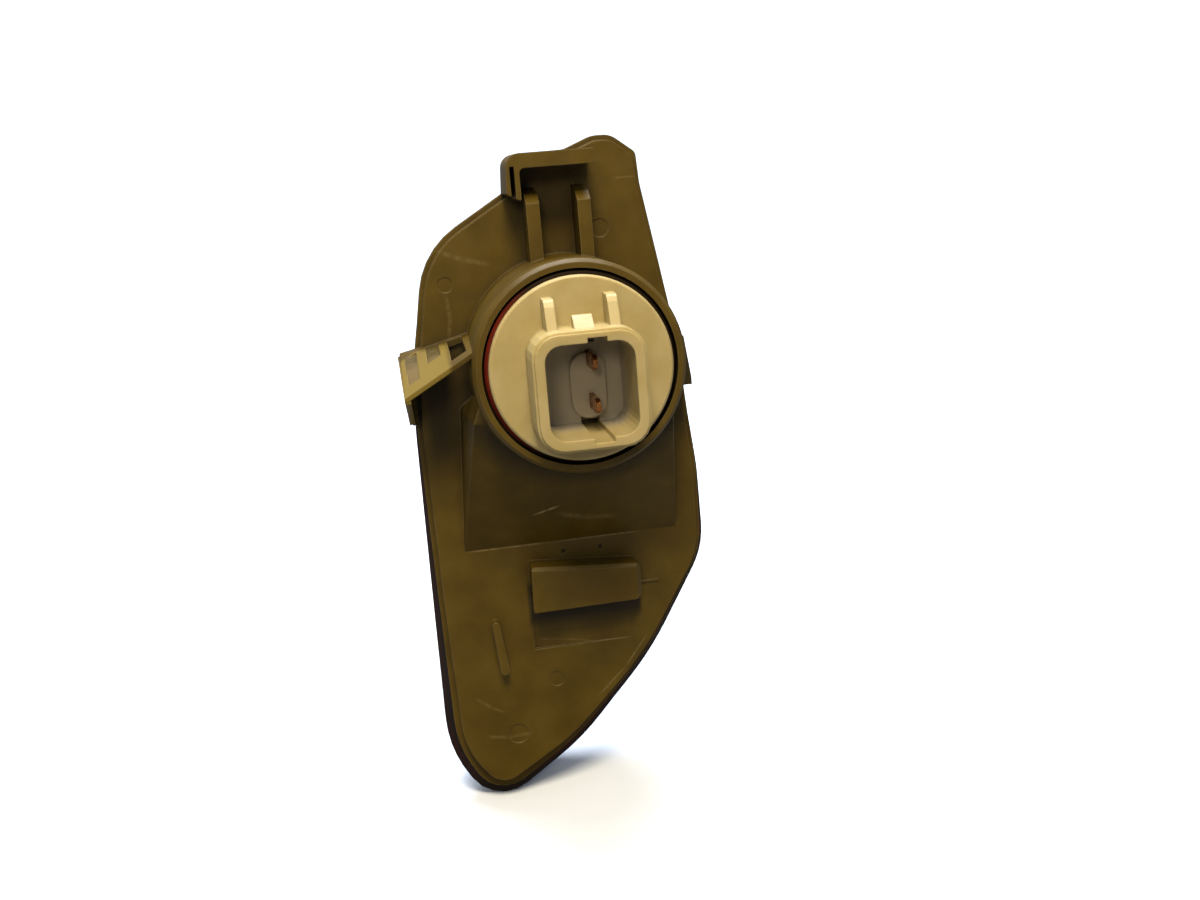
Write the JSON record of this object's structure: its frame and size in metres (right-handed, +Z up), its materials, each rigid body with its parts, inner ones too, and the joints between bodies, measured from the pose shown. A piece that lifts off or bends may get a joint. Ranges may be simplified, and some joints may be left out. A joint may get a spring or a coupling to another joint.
{
  "type": "rear bumper lamp",
  "caption": "Slanted rear bumper lamp: moulded housing with collar, hood, hook and snap brackets, welded red lens, and a turning bulb holder with a plug socket.",
  "frame": {"origin": "where the bulb axis crosses the back of the housing plate", "axes": "+Z up the lamp's length, +Y out of its back toward the plug, lens toward -Y"},
  "size_m": [0.0623, 0.0623, 0.1423],
  "materials": {
    "grey_moulding": "satin",
    "red_lens": "gloss",
    "mirror_coat": "mirror",
    "red_reflex": "gloss",
    "beige_moulding": "satin",
    "red_silicone": "matte",
    "copper_alloy": "satin",
    "clear_glass": "gloss",
    "nickel_wire": "satin",
    "tungsten": "satin"
  },
  "bodies": {
    "lamp_body": {"housing": "grey_moulding", "lens": "red_lens", "reflector": "mirror_coat", "reflex_panel": "red_reflex"},
    "holder": {"bulb_holder": "beige_moulding", "holder_seal": "red_silicone", "terminal_upper": "copper_alloy", "terminal_lower": "copper_alloy", "bulb_glass": "clear_glass", "bulb_post_left": "nickel_wire", "bulb_post_right": "nickel_wire", "bulb_filament": "tungsten", "bulb_lead_left": "nickel_wire", "bulb_lead_right": "nickel_wire"}
  },
  "joints": [
    {"name": "holder_turn", "type": "hinge", "parent": "lamp_body", "child": "holder", "pos_m": [0, 0, 0], "axis": [0, 1, 0], "range_deg": [0, 45]}
  ]
}
